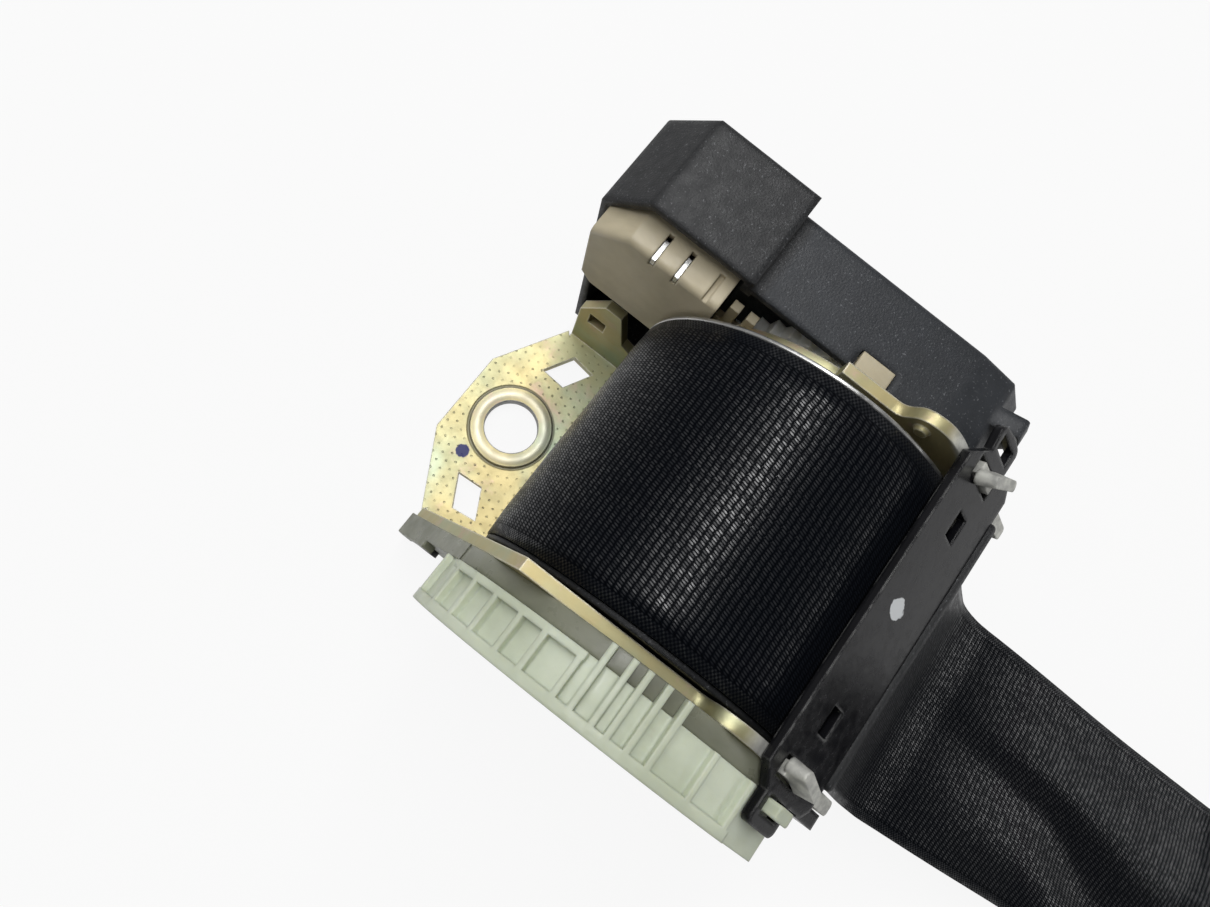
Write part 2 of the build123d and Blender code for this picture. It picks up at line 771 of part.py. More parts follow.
# Moulded cover of the lock side: long low part and a deeper block at the lug end
long_outline = [
    (24.6, 24.7),
    (-14.0, 24.7),
    (-21.2, 23.5),
    (-25.4, 18.4),
    (-26.4, 10.0),
    (-26.6, -10.0),
    (-21.0, -37.0),
    (24.6, -37.0),
]
block_outline = [
    (23.6, 26.5),
    (44.4, 26.5),
    (52.8, 17.2),
    (50.8, -37.0),
    (23.6, -37.0),
]
long_out = 47.2
block_out = 50.3
with BuildPart() as mechanism_cover:
    for outline, outer in ((long_outline, long_out), (block_outline, block_out)):
        with BuildSketch(across(cover_face)):
            with BuildLine():
                Polyline(*outline, close=True)
            make_face()
        extrude(amount=outer - cover_face)
    # Rounded corners in plan: both ends of the block and the end of the long part
    with BuildSketch(Plane.XY.offset(foot_v)):
        with BuildLine():
            Polyline(
                (cover_face, spool_y - 30.0),
                (long_out, spool_y - 30.0),
                (long_out, spool_y + 22.4),
                (block_out, spool_y + 22.4),
                (block_out, spool_y + 54.0),
                (cover_face, spool_y + 54.0),
                close=True,
            )
        make_face()
        step_corners = vertices().filter_by(lambda corner: abs(corner.Y - spool_y - 22.4) < 1)
        fillet(step_corners, 1.4)
    extrude(amount=3 * spool_z, mode=Mode.INTERSECT)
    outside = mechanism_cover.edges().filter_by(lambda edge: edge.center().X > long_out - 0.05)
    fillet(outside.filter_by(lambda edge: abs(edge.center().Y - spool_y - 23.0) > 3), 1.0)
    for outline, outer in ((long_outline, long_out), (block_outline, block_out)):
        with BuildSketch(across(cover_face - 1)):
            with BuildLine():
                Polyline(*outline, close=True)
            make_face()
            offset(amount=-wall, mode=Mode.REPLACE)
        extrude(amount=outer - wall - cover_face + 1, mode=Mode.SUBTRACT)
    # One room inside, from the gear to the sensor
    with BuildSketch(across(cover_face - 1)):
        with Locations((24.0, -6.5)):
            Rectangle(8.0, 57.0)
    extrude(amount=long_out - wall - cover_face + 1, mode=Mode.SUBTRACT)
    # Notch of the clip tab
    with BuildSketch(across(cover_face)):
        with Locations((-0.15, 24.0)):
            Rectangle(6.9, 5.0)
    extrude(amount=3.8, mode=Mode.SUBTRACT)
    # Boss of the shaft bushing
    with BuildSketch(across(long_out - wall)):
        Circle(6.4)
    extrude(amount=-4.0)
    with BuildSketch(across(long_out - wall)):
        Circle(4.6)
    extrude(amount=-4.0, mode=Mode.SUBTRACT)
    # Hook block past the tie bar ear
    with BuildSketch(across(38.0)):
        with BuildLine():
            Polyline((-20.0, 18.0), (-20.4, 23.4), (-25.8, 25.6), (-27.4, 22.6), (-24.8, 13.0), close=True)
        make_face()
        fillet(vertices().group_by(Axis.Y)[-2:], 0.8)
    extrude(amount=3.8)
save(mechanism_cover.part, "mechanism_cover")

with BuildPart() as shaft_bushing:
    with BuildSketch(across(long_out - wall)):
        Circle(4.6)
        Circle(shaft_r + fit, mode=Mode.SUBTRACT)
    extrude(amount=-4.0)
save(shaft_bushing.part, "shaft_bushing")

# Free webbing: off the roll, down a skewed slope to the table, then folded into a flat hank
leave = polar(strap_r, 150.0)
bend = (leave[0] - (leave[1] + 20.0) * math.tan(math.radians(30.0)), -20.0)
level_2 = strap_low + hank_pitch
level_3 = level_2 + hank_pitch
loop_r = 2.2
back_end = anchor_u + 2.0
sewn_end = anchor_u + 26.0
sewn_level = level_3 - web_thick + 0.05
with BuildPart() as belt_strap:
    with BuildSketch(across(2 * web_low)):
        with BuildLine():
            slope = FilletPolyline(leave, bend, (skew_end, strap_low), (hank_far, strap_low), radius=20.0)
            fold_1 = ThreePointArc(
                slope @ 1,
                (hank_far - hank_pitch / 2, strap_low + hank_pitch / 2),
                (hank_far, level_2),
            )
            layer_2 = Line(fold_1 @ 1, (hank_near, level_2))
            fold_2 = ThreePointArc(
                layer_2 @ 1,
                (hank_near + hank_pitch / 2, level_2 + hank_pitch / 2),
                (hank_near, level_3),
            )
            layer_3 = Line(fold_2 @ 1, (anchor_u - 3.8, level_3))
            loop = ThreePointArc(
                layer_3 @ 1,
                (anchor_u - 3.8 - loop_r, level_3 - loop_r),
                (anchor_u - 3.8, level_3 - 2 * loop_r),
            )
            Line(loop @ 1, (back_end, level_3 - 2 * loop_r))
        trace(line_width=web_thick)
    extrude(amount=2 * web_width)
    # Outline in plan: the strap drifts towards the lock side on its way down
    with BuildSketch(Plane.XY):
        with BuildLine():
            Polyline(
                (web_low, spool_y),
                (web_high, spool_y),
                (web_high, spool_y + skew_start),
                (free_high, spool_y + skew_end),
                (free_high, spool_y + anchor_u - 20.0),
                (free_low, spool_y + anchor_u - 20.0),
                (free_low, spool_y + skew_end),
                (web_low, spool_y + skew_start),
                close=True,
            )
        make_face()
        bends = vertices().filter_by(lambda corner: spool_y + skew_end - 1 < corner.Y < spool_y - 1)
        fillet(bends, 60.0)
    extrude(amount=2 * spool_z, mode=Mode.INTERSECT)
    # Sewn end of the loop, laid against the underside of the top layer
    with BuildSketch(across(free_low)):
        with BuildLine():
            rise = Spline(
                (back_end, level_3 - 2 * loop_r),
                (anchor_u + 10.0, sewn_level),
                tangents=((1, 0), (1, 0)),
            )
            Line(rise @ 1, (sewn_end, sewn_level))
        trace(line_width=web_thick)
    extrude(amount=web_width)
    with Locations((free_x, spool_y + button_u, spool_z + level_3)):
        Cylinder(button_stem_r, 3 * web_thick, mode=Mode.SUBTRACT)
save(belt_strap.part, "belt_strap")

# Stop button through the webbing
with BuildPart() as stop_button:
    with BuildSketch(Plane.XY.offset(spool_z + level_3)):
        with Locations((free_x, spool_y + button_u)):
            Circle(button_stem_r)
    extrude(amount=web_thick / 2, both=True)
    for top, height in ((1, 2.0), (-1, -1.7)):
        with BuildSketch(Plane.XY.offset(spool_z + level_3 + top * web_thick / 2)):
            with Locations((free_x, spool_y + button_u)):
                Circle(6.0)
        extrude(amount=height)
    chamfer(stop_button.faces().sort_by(Axis.Z)[-1].edges(), 0.8)
save(stop_button.part, "stop_button")

# End anchor plate: bar and slot for the sewn loop, crank, bolt hole
plate = 3.0
bar_top = level_3 - web_thick / 2 - 0.1
crank_from = anchor_u - 12.0
crank_to = anchor_u - 20.0
hole_u = anchor_u - 38.0
plate_low = table_gap - spool_z
end_r = 16.0
with BuildPart() as end_anchor_plate:
    with BuildSketch(across(free_x - 30.0)):
        with BuildLine():
            Polyline(
                (anchor_u, bar_top),
                (crank_from, bar_top),
                (crank_to, plate_low + plate),
                (hole_u - end_r, plate_low + plate),
                (hole_u - end_r, plate_low),
                (crank_to - 1.2, plate_low),
                (crank_from - 1.2, bar_top - plate),
                (anchor_u, bar_top - plate),
                close=True,
            )
        make_face()
    extrude(amount=60.0)
    with BuildSketch(Plane.XY):
        with BuildLine():
            Polyline(
                (free_x - 30.0, spool_y + anchor_u),
                (free_x + 30.0, spool_y + anchor_u),
                (free_x + 30.0, spool_y + crank_from),
                (free_x + end_r, spool_y + hole_u),
                (free_x - end_r, spool_y + hole_u),
                (free_x - 30.0, spool_y + crank_from),
                close=True,
            )
        make_face()
        fillet(vertices().sort_by(Axis.Y)[-2:], 3.0)
        with Locations((free_x, spool_y + hole_u)):
            Circle(end_r)
            Circle(bolt_r, mode=Mode.SUBTRACT)
        with Locations((free_x, spool_y + anchor_u - 7.0)):
            RectangleRounded(50.0, 6.8, 2.5, mode=Mode.SUBTRACT)
    extrude(amount=20.0, mode=Mode.INTERSECT)
save(end_anchor_plate.part, "end_anchor_plate")

# Tongue: steel plate leaning on the webbing that passes through its slot
tilt = math.radians(tongue_lean)
tongue_plane = Plane(
    origin=(free_x, spool_y + tongue_u, spool_z + level_3),
    x_dir=(1, 0, 0),
    z_dir=(0, -math.sin(tilt), math.cos(tilt)),
)
tongue_half = 1.25
cover_half = 2.5
with BuildPart() as latch_tongue:
    with BuildSketch(tongue_plane):
        with BuildLine():
            Polyline(
                (-29.0, -8.4),
                (29.0, -8.4),
                (29.0, 10.0),
                (12.0, 26.0),
                (12.0, 60.0),
                (9.0, 64.0),
                (-9.0, 64.0),
                (-12.0, 60.0),
                (-12.0, 26.0),
                (-29.0, 10.0),
                close=True,
            )
        make_face()
        fillet(vertices().filter_by(lambda corner: abs(corner.Y) > 59), 2.0)
        Rectangle(52.4, 12.4, mode=Mode.SUBTRACT)
        with Locations((0, 48.0)):
            RectangleRounded(13.0, 11.0, 1.5, mode=Mode.SUBTRACT)
    extrude(amount=tongue_half, both=True)
save(latch_tongue.part, "latch_tongue")

with BuildPart() as tongue_cover:
    with BuildSketch(tongue_plane):
        with BuildLine():
            Polyline(
                (-31.0, -10.0),
                (31.0, -10.0),
                (31.0, 11.0),
                (14.5, 29.0),
                (-14.5, 29.0),
                (-31.0, 11.0),
                close=True,
            )
        make_face()
        fillet(vertices(), 3.0)
        Rectangle(49.6, 10.4, mode=Mode.SUBTRACT)
    extrude(amount=cover_half, both=True)
    add(latch_tongue.part, mode=Mode.SUBTRACT)
save(tongue_cover.part, "tongue_cover")

# Push pins that hold the two base plates on the side walls
for name, places, side, face in (
    ("spring_side_pin", spring_pins, -1, -cover_rim),
    ("lock_side_pin", lock_pins, 1, cover_face),
):
    for number, place in enumerate(places, start=1):
        with BuildPart() as push_pin:
            with BuildSketch(across(side * wall_in)):
                with Locations(place):
                    Circle(push_pin_r - 0.02)
            extrude(amount=side * (face - wall_in))
            with BuildSketch(across(side * face)):
                with Locations(place):
                    Circle(2.8)
            extrude(amount=side * 1.2)
        save(push_pin.part, f"{name}_{number}")
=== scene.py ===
import bpy
import bmesh
import json
import math
from mathutils import Matrix, Vector


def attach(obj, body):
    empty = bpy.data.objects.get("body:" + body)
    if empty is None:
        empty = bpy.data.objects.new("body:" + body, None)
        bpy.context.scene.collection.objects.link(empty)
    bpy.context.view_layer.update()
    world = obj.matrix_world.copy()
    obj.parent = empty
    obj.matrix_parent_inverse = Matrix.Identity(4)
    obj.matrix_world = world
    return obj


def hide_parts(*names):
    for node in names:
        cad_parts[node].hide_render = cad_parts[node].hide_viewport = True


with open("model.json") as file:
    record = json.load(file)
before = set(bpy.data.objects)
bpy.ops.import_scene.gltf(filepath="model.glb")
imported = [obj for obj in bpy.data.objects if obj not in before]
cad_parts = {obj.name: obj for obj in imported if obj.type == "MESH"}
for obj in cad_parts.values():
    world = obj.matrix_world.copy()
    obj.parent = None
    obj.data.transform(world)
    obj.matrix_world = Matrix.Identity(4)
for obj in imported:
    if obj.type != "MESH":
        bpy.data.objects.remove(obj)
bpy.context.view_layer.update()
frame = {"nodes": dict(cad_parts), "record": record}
nodes = frame["nodes"]

MM = 0.001

# Dimensions in millimetres, u and v being Y and Z measured from the spool axis
SPOOL_Y = -45.6
SPOOL_Z = 40.0
TIE_ANGLE = math.radians(131.3)
COVER_STEP_Y = SPOOL_Y + 22.4
WEB_WIDTH = 47.0
WEB_THICK = 1.2
TAPER_WIDTH = 1.4
TAPER_SHARE = 0.45

# The roll, as millimetres, turns and degrees
WEB_X = -1.1
ROLL_R = 34.2
CORE_R = 15.0
ROLL_TURNS = 15
ROLL_END_ANGLE = 150.0

# The free webbing: off the roll, down to the ground, a flat hank of two folds, and the sewn loop
STRAP_R = 35.1
STRAP_START_ANGLE = 137.0
BEND_R = 20.0
BEND_U = -52.1
BEND_V = -20.0
STRAP_LOW = 0.7 - SPOOL_Z
BUCKLE_END = -168.0
STRAP_SLOPE = 0.083
SKEW_END = -137.0
FREE_X = 6.6
HANK_PITCH = 4.2
HANK_NEAR = -170.0
HANK_FAR = -245.0
ANCHOR_U = -338.0
LOOP_R = 2.2
LOOP_BACK = 3.8
TAIL_START = 2.0
TAIL_RAMP = 8
TAIL_END = 26.0
TAIL_GAP = 1.15

# Ground in metres, strengths of the surroundings, and lamps as name, place, size and watts
GROUND_SIZE = 40.0
GROUND_Z = -0.0002
HORIZON_LIGHT = 0.36
ZENITH_LIGHT = 0.16
LAMP_TARGET = (0.0, -0.045, 0.05)
LAMPS = (
    ("strip", (0.20, 0.12, 0.76), (0.90, 0.12), 4.2),
    ("fill", (0.00, 0.36, 0.66), (0.80, 0.24), 0.9),
    ("low", (0.32, -1.00, 0.36), (0.50, 0.20), 1.15),
)

# Camera: place in millimetres, tilt and swing of its view from straight down, and roll
CAMERA_PLACE = (-36.8, -18.9, 193.5)
CAMERA_TILT = math.radians(13.33)
CAMERA_SWING = math.radians(-0.34)
CAMERA_ROLL = math.radians(52.06)


def at(x, u, v):
    """Point in metres from X, u and v in millimetres."""
    return Vector((x, SPOOL_Y + u, SPOOL_Z + v)) * MM


def new_object(name, mesh, body):
    """Smooth object made from a mesh under construction, riding on a body."""
    data = bpy.data.meshes.new(name)
    mesh.to_mesh(data)
    mesh.free()
    for polygon in data.polygons:
        polygon.use_smooth = True
    obj = bpy.data.objects.new(name, data)
    bpy.context.scene.collection.objects.link(obj)
    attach(obj, body)
    return obj


class Look:
    """A procedural material and short ways to add nodes to it."""

    def __init__(self, name, **sockets):
        self.mat = bpy.data.materials.new(name)
        self.mat.use_nodes = True
        self.tree = self.mat.node_tree
        self.shader = self.tree.nodes["Principled BSDF"]
        for key, value in sockets.items():
            self.shader.inputs[key.replace("_", " ")].default_value = value

    def node(self, kind, inputs=None, **settings):
        made = self.tree.nodes.new(kind)
        for key, value in settings.items():
            setattr(made, key, value)
        for key, value in (inputs or {}).items():
            self.feed(made.inputs[key], value)
        return made

    def feed(self, socket, value):
        if isinstance(value, bpy.types.NodeSocket):
            self.tree.links.new(value, socket)
        else:
            socket.default_value = value

    def set(self, **sockets):
        for key, value in sockets.items():
            self.feed(self.shader.inputs[key.replace("_", " ")], value)

    def math(self, operation, first, second=0.0, third=0.0):
        made = self.node("ShaderNodeMath", operation=operation)
        for socket, value in zip(made.inputs, (first, second, third)):
            self.feed(socket, value)
        return made.outputs[0]

    def times(self, first, second):
        return self.math("MULTIPLY", first, second)

    def plus(self, first, second):
        return self.math("ADD", first, second)

    def minus(self, first, second):
        return self.math("SUBTRACT", first, second)

    def gap(self, first, second):
        """Distance between two values."""
        return self.math("ABSOLUTE", self.minus(first, second))

    def centred(self, value):
        """Place within a cell, from -0.5 to 0.5."""
        return self.minus(self.math("FRACT", value), 0.5)

    def between(self, share, first, second):
        """first where share is 0, second where it is 1."""
        return self.math("MULTIPLY_ADD", share, self.minus(second, first), first)

    def reach(self, first, second):
        """Length of the vector (first, second)."""
        squares = self.plus(self.times(first, first), self.times(second, second))
        return self.math("SQRT", squares)

    def random(self, first, second):
        """Random number of a cell."""
        return self.node("ShaderNodeTexWhiteNoise", {"Vector": self.point(first, second)}).outputs["Value"]

    def place(self, kind="Object"):
        """x, y, z sockets of the texture coordinates."""
        coords = self.node("ShaderNodeTexCoord")
        split = self.node("ShaderNodeSeparateXYZ", {0: coords.outputs[kind]})
        return split.outputs[0], split.outputs[1], split.outputs[2]

    def point(self, x, y):
        return self.node("ShaderNodeCombineXYZ", {0: x, 1: y}).outputs[0]

    def noise(self, scale, detail=4.0, roughness=0.55, stretch=None):
        vector = self.node("ShaderNodeTexCoord").outputs["Object"]
        if stretch is not None:
            vector = self.node("ShaderNodeMapping", {"Vector": vector, "Scale": stretch}).outputs[0]
        made = self.node(
            "ShaderNodeTexNoise",
            {"Vector": vector, "Scale": scale, "Detail": detail, "Roughness": roughness},
        )
        return made.outputs[0]

    def ramp(self, value, low, high, to_low=0.0, to_high=1.0, smooth=True):
        made = self.node(
            "ShaderNodeMapRange",
            {"Value": value, "From Min": low, "From Max": high, "To Min": to_low, "To Max": to_high},
        )
        made.interpolation_type = "SMOOTHSTEP" if smooth else "LINEAR"
        return made.outputs[0]

    def patches(self, scale, detail, span, to=(0.0, 1.0), roughness=0.55):
        """Noise whose values over a span are brought between two others."""
        return self.ramp(self.noise(scale, detail, roughness), *span, *to)

    def mix(self, factor, first, second):
        made = self.node("ShaderNodeMix", data_type="RGBA")
        self.feed(made.inputs[0], factor)
        for socket, value in ((made.inputs[6], first), (made.inputs[7], second)):
            self.feed(socket, (*value, 1.0) if isinstance(value, tuple) else value)
        return made.outputs[2]

    def bump(self, height, strength=0.5, distance=0.0002, rounded=None):
        """Relief of a height; rounded is the radius that sharp edges seem to have."""
        made = self.node("ShaderNodeBump", {"Height": height, "Strength": strength, "Distance": distance})
        if rounded is not None:
            edge = self.node("ShaderNodeBevel", {"Radius": rounded}, samples=6)
            self.feed(made.inputs["Normal"], edge.outputs[0])
        self.set(Normal=made.outputs[0])

    def edge_wear(self, radius=0.0006):
        """1 on sharp edges, 0 on flat faces."""
        bevel = self.node("ShaderNodeBevel", {"Radius": radius}, samples=4)
        geometry = self.node("ShaderNodeNewGeometry")
        normals = {0: bevel.outputs[0], 1: geometry.outputs["Normal"]}
        likeness = self.node("ShaderNodeVectorMath", normals, operation="DOT_PRODUCT")
        on_flat, on_edge = 0.985, 0.86
        return self.ramp(likeness.outputs["Value"], on_flat, on_edge)


def webbing_look():
    """Black polyester webbing: slanted warp floats in rows across the belt, finer at the selvedges."""
    look = Look("webbing_black", Sheen_Weight=0.04, Sheen_Roughness=0.4)
    along, over, _ = look.place("UV")
    yarn_pitch = 0.00047
    float_pitch = 0.00118
    fine_yarn_pitch = 0.0008
    fine_float_pitch = 0.0007
    selvedge = 0.0215
    waviness = look.times(look.noise(150.0, 2.0), 0.15)
    row = look.plus(look.math("DIVIDE", along, float_pitch), waviness)
    slant = look.times(look.centred(row), 0.7)
    yarn = look.plus(look.math("DIVIDE", over, yarn_pitch), slant)
    index = look.math("FLOOR", yarn)
    row = look.plus(row, look.times(look.random(index, 0.0), 0.20))
    spark = look.random(index, look.math("FLOOR", row))
    across = look.math("SINE", look.times(look.math("FRACT", yarn), math.pi))
    length = look.math("SINE", look.times(look.math("FRACT", row), math.pi))
    float_height = look.times(look.math("POWER", across, 0.9), look.math("POWER", length, 0.6))
    # Selvedge: a plain, finer weave with a shallow groove beside it; through the height the groove also
    # gets painted shade
    off_centre = look.gap(over, WEB_WIDTH / 2 * MM)
    edge = look.ramp(off_centre, selvedge - 0.0001, selvedge + 0.0002)
    fine_row = look.math("SINE", look.times(along, 2 * math.pi / fine_float_pitch))
    fine_yarn = look.math("SINE", look.times(over, 2 * math.pi / fine_yarn_pitch))
    fine_height = look.ramp(look.times(fine_row, fine_yarn), -1.0, 1.0, 0.3, 0.85)
    height = look.between(edge, float_height, fine_height)
    shaded_groove = look.ramp(look.gap(off_centre, selvedge), 0.0, 0.0003, 1.0, 0.0)
    height = look.minus(height, look.times(shaded_groove, 0.3))
    # Painted shade between the yarns and a painted highlight on their crowns, both set by height; a soft
    # gloss on the crowns that varies from float to float; and lint
    shaded_between_yarns = (0.0010, 0.0014, 0.0023)
    lit_crown = (0.0042, 0.0054, 0.0082)
    colour = look.mix(height, shaded_between_yarns, lit_crown)
    lint = look.times(look.patches(2600.0, 2.0, (0.74, 0.82)), 0.10)
    colour = look.mix(lint, colour, (0.20, 0.20, 0.21))
    shine = look.times(look.ramp(height, 0.38, 0.98), look.ramp(spark, 0.2, 1.0, 0.35, 1.0))
    look.set(
        Base_Color=colour,
        Roughness=look.ramp(spark, 0.0, 1.0, 0.38, 0.28),
        Specular_IOR_Level=look.ramp(shine, 0.0, 1.0, 0.02, 0.80, smooth=False),
    )
    look.bump(height, 0.5, 0.00005)
    return look.mat


def chromate_look():
    """Yellow chromate on zinc: pale gold with pink and green clouds, pricked dots and an ink dot."""
    look = Look("yellow_chromate")
    x, y, z = look.place()
    gold, olive = (0.48, 0.405, 0.205), (0.44, 0.43, 0.255)
    pink, green = (0.56, 0.40, 0.31), (0.34, 0.45, 0.36)
    colour = look.mix(look.patches(70.0, 4.0, (0.35, 0.68)), gold, olive)
    colour = look.mix(look.patches(160.0, 5.0, (0.54, 0.76), roughness=0.65), colour, pink)
    colour = look.mix(look.times(look.patches(45.0, 3.0, (0.5, 0.75)), 0.8), colour, green)
    worn = look.edge_wear(0.0005)
    colour = look.mix(look.times(worn, 0.75), colour, (0.86, 0.84, 0.76))
    # Seat around the bolt hole: a rounded ridge, with a groove outside it painted dark as shade
    bore_r, ridge_r, groove_r, seat_r = 0.0060, 0.0075, 0.0094, 0.0101
    lug_top = 0.0030
    ring = look.reach(x, y)
    flat = look.ramp(z, lug_top, lug_top + 0.0004, 1.0, 0.0)
    ridge = look.times(look.ramp(look.gap(ring, ridge_r), 0.0, 0.0016, 1.0, 0.0), flat)
    shaded_groove = look.times(look.ramp(look.gap(ring, groove_r), 0.0001, 0.0005, 1.0, 0.0), flat)
    # Painted shade in the groove around the seat
    colour = look.mix(look.times(shaded_groove, 0.65), colour, (0.10, 0.10, 0.07))
    colour = look.mix(look.times(ridge, 0.45), colour, (0.80, 0.78, 0.68))
    bore = look.times(look.ramp(ring, bore_r, bore_r + 0.0002, 1.0, 0.0), flat)
    colour = look.mix(bore, colour, (0.30, 0.30, 0.29))
    # Pricked dots in staggered rows on the lug
    pitch = 0.0021
    row_share = 0.87
    lug_root = -0.0125
    line = look.math("DIVIDE", y, pitch * row_share)
    shift = look.times(look.math("FLOORED_MODULO", look.math("FLOOR", line), 2.0), 0.5)
    column = look.plus(look.math("DIVIDE", x, pitch), shift)
    off_dot = look.reach(look.centred(column), look.times(look.centred(line), row_share))
    dots = look.ramp(off_dot, 0.07, 0.14, 1.0, 0.0)
    zone = look.times(look.ramp(ring, seat_r, seat_r + 0.0005), flat)
    zone = look.times(zone, look.ramp(y, lug_root, lug_root + 0.001))
    dots = look.times(dots, zone)
    dots = look.times(dots, look.patches(240.0, 2.0, (0.36, 0.60), (0.35, 1.0)))
    colour = look.mix(look.times(dots, 0.46), colour, (0.085, 0.10, 0.07))
    # Ink dot between the ring and the slanted window
    ink_x, ink_y, ink_r = -10.8 * MM, 5.0 * MM, 0.0017
    off_ink = look.reach(look.minus(x, ink_x), look.minus(y, ink_y))
    spot = look.plus(off_ink, look.times(look.noise(1500.0, 2.0), 0.0008))
    ink = look.times(look.ramp(spot, ink_r, ink_r + 0.0003, 1.0, 0.0), look.ramp(z, 0.001, 0.0014))
    colour = look.mix(ink, colour, (0.018, 0.022, 0.15))
    # Twisted tab heads and horns above the tie bar: dull zinc
    tie_top = 0.0335
    climb = look.plus(
        look.times(look.minus(y, SPOOL_Y * MM), math.cos(TIE_ANGLE)),
        look.times(look.minus(z, SPOOL_Z * MM), math.sin(TIE_ANGLE)),
    )
    dull = look.ramp(climb, tie_top, tie_top + 0.0015)
    grey = look.mix(look.patches(500.0, 4.0, (0.3, 0.7)), (0.36, 0.36, 0.34), (0.62, 0.62, 0.57))
    colour = look.mix(dull, colour, grey)
    # Less metal where the ink is and in the groove's painted shade
    plain = look.minus(1.0, look.math("MAXIMUM", ink, look.times(shaded_groove, 0.5)))
    metal = look.times(plain, look.ramp(dull, 0.0, 1.0, 0.8, 0.45))
    look.set(Base_Color=colour, Metallic=metal)
    rough = look.patches(300.0, 4.0, (0.3, 0.7), (0.42, 0.51))
    look.set(Roughness=look.plus(rough, look.times(dull, 0.12)))
    grain = look.noise(1800.0, 3.0, stretch=(1.0, 0.15, 1.0))
    height = look.minus(look.times(grain, 0.25), look.times(dots, 0.8))
    height = look.plus(height, look.times(ridge, 2.2))
    height = look.minus(height, look.times(shaded_groove, 1.5))
    look.bump(height, 0.6, 0.00015, rounded=0.0004)
    return look.mat


def ecoat_look():
    """Gloss black dip coat with dust, rubbed edges and a dab of white paint."""
    look = Look("black_ecoat", Specular_IOR_Level=0.26)
    x, y, z = look.place()
    worn = look.times(look.edge_wear(0.0005), look.patches(350.0, 3.0, (0.42, 0.62)))
    speck = look.patches(2200.0, 3.0, (0.68, 0.80))
    deep, faded = (0.0025, 0.0025, 0.0035), (0.006, 0.006, 0.0075)
    colour = look.mix(look.patches(120.0, 4.0, (0.3, 0.7)), deep, faded)
    colour = look.mix(look.times(speck, 0.06), colour, (0.2, 0.2, 0.2))
    colour = look.mix(look.times(worn, 0.40), colour, (0.30, 0.30, 0.29))
    # Dab of paint, an uneven oval on the top face
    dab_x, dab_along = 1.5 * MM, 2.0 * MM
    half_width, half_length = 1.75 * MM, 2.4 * MM
    slope = look.minus(
        look.times(look.minus(y, SPOOL_Y * MM), math.sin(TIE_ANGLE)),
        look.times(look.minus(z, SPOOL_Z * MM), math.cos(TIE_ANGLE)),
    )
    off_x = look.math("DIVIDE", look.minus(x, dab_x), half_width)
    off_along = look.math("DIVIDE", look.minus(slope, dab_along), half_length)
    ragged = look.times(look.minus(look.noise(420.0, 3.0), 0.5), 0.9)
    paint = look.ramp(look.plus(look.reach(off_x, off_along), ragged), 0.86, 0.98, 1.0, 0.0)
    colour = look.mix(paint, colour, (0.64, 0.66, 0.67))
    look.set(Base_Color=colour)
    rough = look.patches(500.0, 4.0, (0.3, 0.7), (0.16, 0.30))
    look.set(Roughness=look.plus(rough, look.times(paint, 0.3)))
    height = look.plus(look.times(look.noise(900.0, 3.0), 0.3), paint)
    look.bump(height, 0.35, 0.00015, rounded=0.0008)
    return look.mat


def moulded_look(name, light, dark, rough, scatter):
    """Pale moulded plastic with slight scatter, flow marks and grime in places."""
    dirt = (0.35, 0.30, 0.24)
    look = Look(name, Specular_IOR_Level=0.45)
    flow = look.noise(55.0, 4.0, 0.6, stretch=(2.0, 1.0, 1.0))
    colour = look.mix(look.ramp(flow, 0.3, 0.7), dark, light)
    grime = look.times(look.patches(260.0, 5.0, (0.60, 0.80), roughness=0.7), 0.22)
    colour = look.mix(grime, colour, dirt)
    speck = look.times(look.patches(1900.0, 2.0, (0.74, 0.80)), 0.4)
    colour = look.mix(speck, colour, dirt)
    gloss = look.patches(380.0, 4.0, (0.3, 0.7), (rough - 0.08, rough + 0.1))
    look.set(Base_Color=colour, Roughness=gloss)
    look.set(Subsurface_Weight=scatter, Subsurface_Radius=(1.0, 0.9, 0.6), Subsurface_Scale=0.0025)
    look.bump(look.noise(1400.0, 4.0), 0.22, 0.00012, rounded=0.0006)
    return look.mat


def black_plastic_look(name, long_top_sheen=False):
    """Black grained moulding with scuffs and dust; on request a painted sheen lightens the long top."""
    look = Look(name, Specular_IOR_Level=0.38)
    tone = 0.0065
    grain = 2600.0
    mottle = look.noise(70.0, 5.0, 0.65)
    base = look.mix(
        look.ramp(mottle, 0.3, 0.72),
        (tone * 0.92, tone * 1.02, tone * 1.22),
        (tone * 1.08, tone * 1.20, tone * 1.42),
    )
    if long_top_sheen:
        # Painted sheen: the long top is made lighter in place of its reflection of the overhead light
        _, y, _ = look.place()
        painted_sheen = look.ramp(y, COVER_STEP_Y * MM, (COVER_STEP_Y - 2.0) * MM)
        painted_sheen = look.times(painted_sheen, look.patches(160.0, 6.0, (0.35, 0.7), (0.7, 1.0), roughness=0.75))
        base = look.mix(painted_sheen, base, (0.026, 0.029, 0.034))
    dust = look.times(look.patches(grain * 0.9, 2.0, (0.62, 0.76)), 0.30)
    colour = look.mix(dust, base, (0.33, 0.34, 0.36))
    worn = look.times(look.edge_wear(0.0006), 0.35)
    colour = look.mix(worn, colour, (0.06, 0.06, 0.062))
    look.set(Base_Color=colour, Roughness=look.patches(420.0, 5.0, (0.3, 0.7), (0.41, 0.51)))
    look.bump(look.noise(grain, 3.0), 0.45, 0.00014, rounded=0.0020)
    return look.mat


